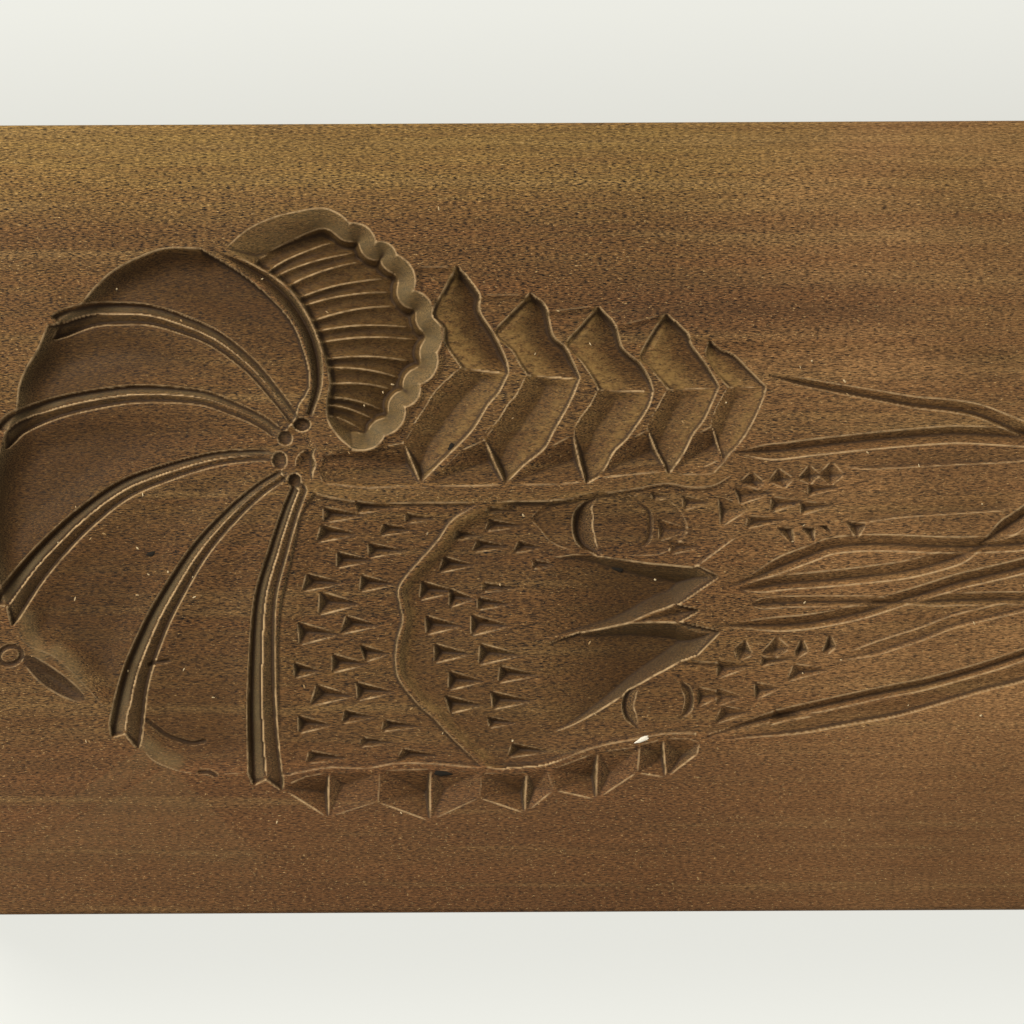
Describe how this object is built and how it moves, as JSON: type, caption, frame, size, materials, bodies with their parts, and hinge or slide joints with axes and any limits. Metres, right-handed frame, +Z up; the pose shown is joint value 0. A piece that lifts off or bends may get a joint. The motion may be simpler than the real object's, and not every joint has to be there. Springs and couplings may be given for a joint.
{
  "type": "wooden confectionery mold",
  "caption": "Rectangular wooden sweet mold: one thick hardwood plank with a spiny lobster carved into its top face, for pressing paste into.",
  "frame": {"origin": "middle of the flat underside, the face that it rests on", "axes": "+X along the grain from the tail to the antenna tips, +Y from the head's spines to the shell, +Z up out of the carved face"},
  "size_m": [0.42, 0.21, 0.04],
  "materials": {
    "cherry_wood": "bare close-grained hardwood, worn smooth and floured in the cuts"
  },
  "bodies": {
    "root": {"carved_board": "cherry_wood"}
  },
  "joints": []
}
